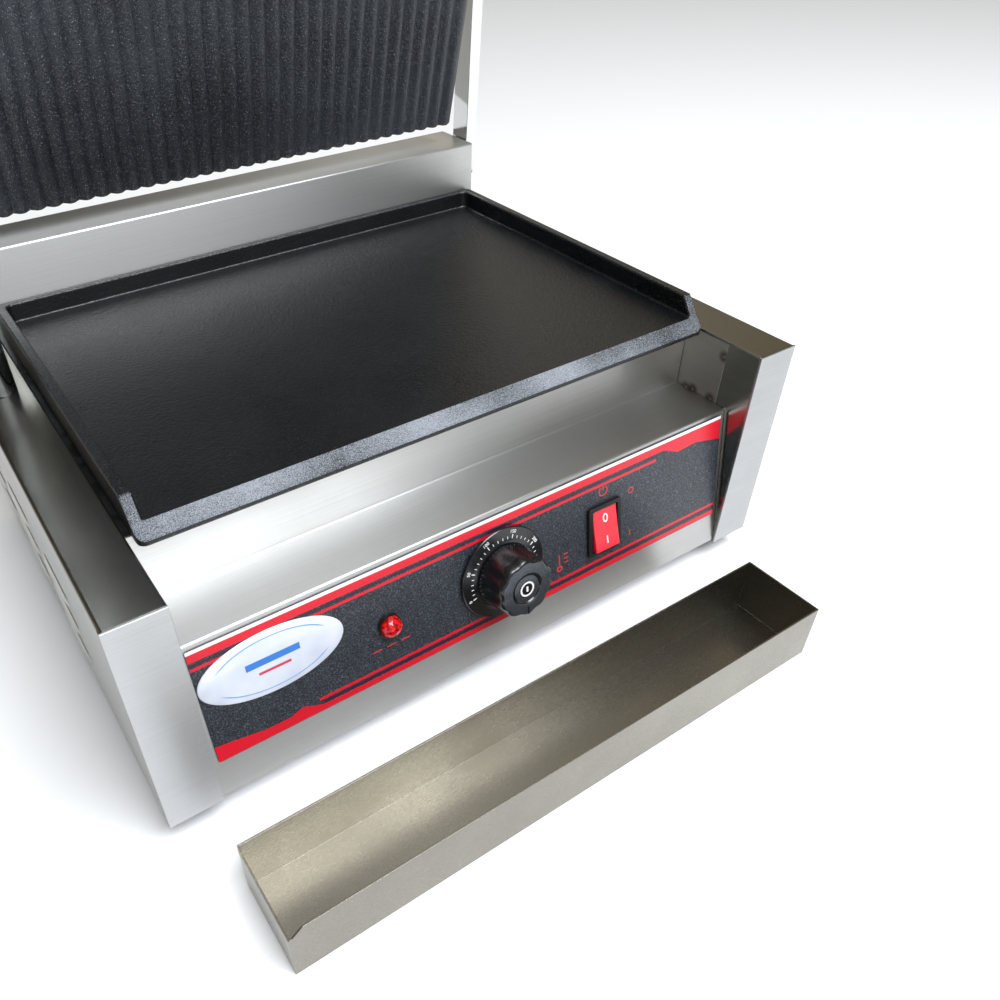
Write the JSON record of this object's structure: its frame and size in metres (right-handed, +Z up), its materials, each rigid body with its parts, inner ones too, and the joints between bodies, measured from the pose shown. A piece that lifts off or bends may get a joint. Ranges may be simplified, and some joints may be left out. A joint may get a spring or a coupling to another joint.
{
  "type": "panini press",
  "caption": "Countertop contact grill with a flat lower plate, a ribbed upper plate on a hinged counterbalanced lid, a sloped control face and a loose drip tray.",
  "frame": {"origin": "middle of the rectangle that the body and the tray in front of it cover, at floor level", "axes": "+X to the operator's right, +Y to the back, +Z up"},
  "size_m": [0.43, 0.461, 0.5165],
  "materials": {
    "body_steel": "brushed stainless sheet",
    "bright_steel": "polished",
    "tray_steel": "mill finish stainless sheet, handled",
    "cast_iron": "black enamelled casting, fine orange peel",
    "element_steel": "dull steel",
    "wool": "mineral wool",
    "phenolic": "moulded brown phenolic",
    "brass": "machined",
    "black_plastic": "glossy black phenolic",
    "red_plastic": "glossy translucent red",
    "overlay": "printed polyester sheet with a speckled grain",
    "badge": "domed white sticker",
    "rubber": "moulded"
  },
  "bodies": {
    "base": {"base_pan": "body_steel", "foot_fl": "rubber", "foot_fr": "rubber", "foot_rl": "rubber", "foot_rr": "rubber", "side_shell_l": "body_steel", "side_shell_r": "body_steel", "inner_wall_l": "body_steel", "inner_wall_r": "body_steel", "column_front_l": "body_steel", "column_front_r": "body_steel", "front_panel": "body_steel", "control_overlay": "overlay", "badge_oval": "badge", "lamp_body": "black_plastic", "lamp_lens": "red_plastic", "thermostat_body": "phenolic", "switch_body": "black_plastic", "lower_plate": "cast_iron", "lower_element": "element_steel", "lower_insulation": "wool", "heat_shield": "body_steel", "rear_box": "body_steel", "rear_panel": "body_steel", "hinge_bush_l": "brass", "hinge_bush_r": "brass", "torsion_spring_l": "element_steel", "torsion_spring_r": "element_steel", "conduit_ferrule": "bright_steel", "conduit_hose": "bright_steel", "cord_gland": "black_plastic", "terminal_block": "phenolic", "capillary_tube": "brass"},
    "lid": {"hinge_shaft": "element_steel", "arm_l": "bright_steel", "arm_r": "bright_steel", "handle_bar": "bright_steel", "handle_grip": "black_plastic", "conduit_elbow": "bright_steel"},
    "plate_unit": {"upper_plate": "cast_iron", "upper_element": "element_steel", "upper_insulation": "wool", "upper_cover": "body_steel", "pivot_bolt_l": "element_steel", "pivot_bolt_r": "element_steel"},
    "knob": {"thermostat_stem": "brass", "knob_dial": "black_plastic", "knob_grip": "black_plastic"},
    "rocker": {"rocker": "red_plastic"},
    "tray": {"drip_tray": "tray_steel"}
  },
  "joints": [
    {"name": "lid_hinge", "type": "hinge", "parent": "base", "child": "lid", "pos_m": [0, 0.18081, 0.199], "axis": [1, 0, 0], "range_deg": [-6, 86.7], "deforming": ["conduit_hose"]},
    {"name": "plate_float", "type": "hinge", "parent": "lid", "child": "plate_unit", "pos_m": [0, 0.17253, 0.34276], "axis": [1, 0, 0], "range_deg": [-11.4, 0.8]},
    {"name": "knob_turn", "type": "hinge", "parent": "base", "child": "knob", "pos_m": [0.0025, -0.12424, 0.07453], "axis": [0, -0.9871, 0.1599], "range_deg": [-255, 0]},
    {"name": "rocker_tilt", "type": "hinge", "parent": "base", "child": "rocker", "pos_m": [0.081, -0.12579, 0.07123], "axis": [1, 0, 0], "range_deg": [0, 18]},
    {"name": "tray_lift", "type": "slide", "parent": "base", "child": "tray", "axis": [0, 0, 1], "range_m": [0, 0.25]}
  ],
  "couplings": [
    {"joint": "plate_float", "follows": "lid_hinge", "ratio": -0.13033}
  ]
}
